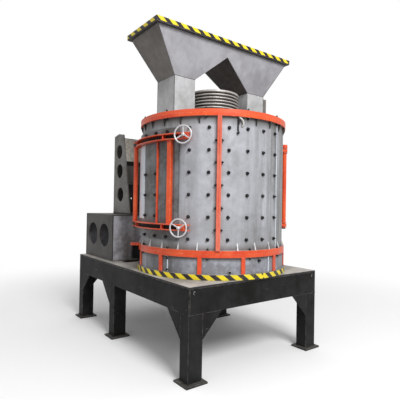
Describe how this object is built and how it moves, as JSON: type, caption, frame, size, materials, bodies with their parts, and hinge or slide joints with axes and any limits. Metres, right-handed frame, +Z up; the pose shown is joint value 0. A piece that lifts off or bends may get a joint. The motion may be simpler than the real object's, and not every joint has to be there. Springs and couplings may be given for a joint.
{
  "type": "vertical compound crusher",
  "caption": "Upright drum rock crusher with two curved hinged doors, clamp handwheels, belt pulley, twin-chute feed hopper and motor stand on a legged steel deck",
  "frame": {"origin": "on the floor at the middle of the stand's footprint", "axes": "+Z up; +X along the stand towards the crusher's end; the doors face -Y and +Y"},
  "size_m": [2.88, 2.024, 3.597],
  "materials": {
    "black_steel": "satin",
    "grey_paint": "satin",
    "red_paint": "satin",
    "hopper_paint": "satin",
    "tape": "satin",
    "pulley_iron": "machined",
    "machined_steel": "machined",
    "wear_iron": "cast",
    "wheel_chrome": "polished",
    "deck_paint": "worn"
  },
  "bodies": {
    "base": {"deck_plate": "deck_paint", "side_beams": "black_steel", "end_beams": "black_steel", "cross_beams": "black_steel", "legs": "black_steel", "foot_plates": "black_steel", "side_haunches": "black_steel", "end_haunches": "black_steel", "base_ring": "tape", "base_shell": "grey_paint", "base_ribs": "red_paint", "base_flange": "red_paint", "shell_foot_flange": "red_paint", "shell_half_front": "grey_paint", "shell_half_rear": "grey_paint", "split_bars": "red_paint", "lower_gussets": "grey_paint", "upper_gussets": "grey_paint", "shell_top_flange": "red_paint", "wear_liner": "wear_iron", "lid_plate": "red_paint", "lid_bearing": "grey_paint", "lower_bearing": "wear_iron", "hinge_lugs_front": "black_steel", "hinge_lugs_rear": "red_paint", "hinge_pins": "machined_steel", "hinge_cap_rear": "red_paint", "flange_ledge": "red_paint", "ledge_box": "black_steel", "hopper_side_walls": "hopper_paint", "hopper_end_walls": "hopper_paint", "hopper_saddle": "hopper_paint", "feed_chutes": "hopper_paint", "chute_strip": "hopper_paint", "hopper_rim": "tape", "motor_box_sides": "grey_paint", "motor_box_ends": "grey_paint", "motor_box_top": "grey_paint", "motor_stand_foot": "grey_paint", "motor_gussets": "grey_paint", "motor_plate": "grey_paint", "motor_front_panel": "grey_paint", "motor_lower_panel": "grey_paint"},
    "rotor": {"rotor_shaft": "machined_steel", "drive_pulley": "pulley_iron", "rotor_discs": "wear_iron", "hammers": "wear_iron", "spreader_cone": "wear_iron"},
    "door_front": {"door_panel_front": "grey_paint", "door_frame_front": "red_paint"},
    "handwheel_front_top": {"handwheel_front_top": "wheel_chrome"},
    "handwheel_front_bottom": {"handwheel_front_bottom": "wheel_chrome"},
    "door_rear": {"door_panel_rear": "grey_paint", "door_frame_rear": "red_paint"},
    "handwheel_rear_top": {"handwheel_rear_top": "wheel_chrome"},
    "handwheel_rear_bottom": {"handwheel_rear_bottom": "wheel_chrome"}
  },
  "joints": [
    {"name": "rotor_spin", "type": "hinge", "parent": "base", "child": "rotor", "pos_m": [0.55, 0, 2.88], "axis": [0, 0, 1], "continuous": true},
    {"name": "door_front_hinge", "type": "hinge", "parent": "base", "child": "door_front", "pos_m": [0.10155, -0.80902, 1.9], "axis": [0, 0, -1], "range_deg": [0, 110]},
    {"name": "handwheel_front_top_spin", "type": "hinge", "parent": "door_front", "child": "handwheel_front_top", "pos_m": [1.11578, -0.8294, 2.368], "axis": [0.5635, -0.8261, 0], "continuous": true},
    {"name": "handwheel_front_bottom_spin", "type": "hinge", "parent": "door_front", "child": "handwheel_front_bottom", "pos_m": [1.08797, -0.84771, 1.435], "axis": [0.5358, -0.8443, 0], "continuous": true},
    {"name": "door_rear_hinge", "type": "hinge", "parent": "base", "child": "door_rear", "pos_m": [0.99845, 0.80902, 1.9], "axis": [0, 0, -1], "range_deg": [0, 110]},
    {"name": "handwheel_rear_top_spin", "type": "hinge", "parent": "door_rear", "child": "handwheel_rear_top", "pos_m": [-0.01578, 0.8294, 2.368], "axis": [-0.5635, 0.8261, 0], "continuous": true},
    {"name": "handwheel_rear_bottom_spin", "type": "hinge", "parent": "door_rear", "child": "handwheel_rear_bottom", "pos_m": [0.01203, 0.84771, 1.435], "axis": [-0.5358, 0.8443, 0], "continuous": true}
  ]
}
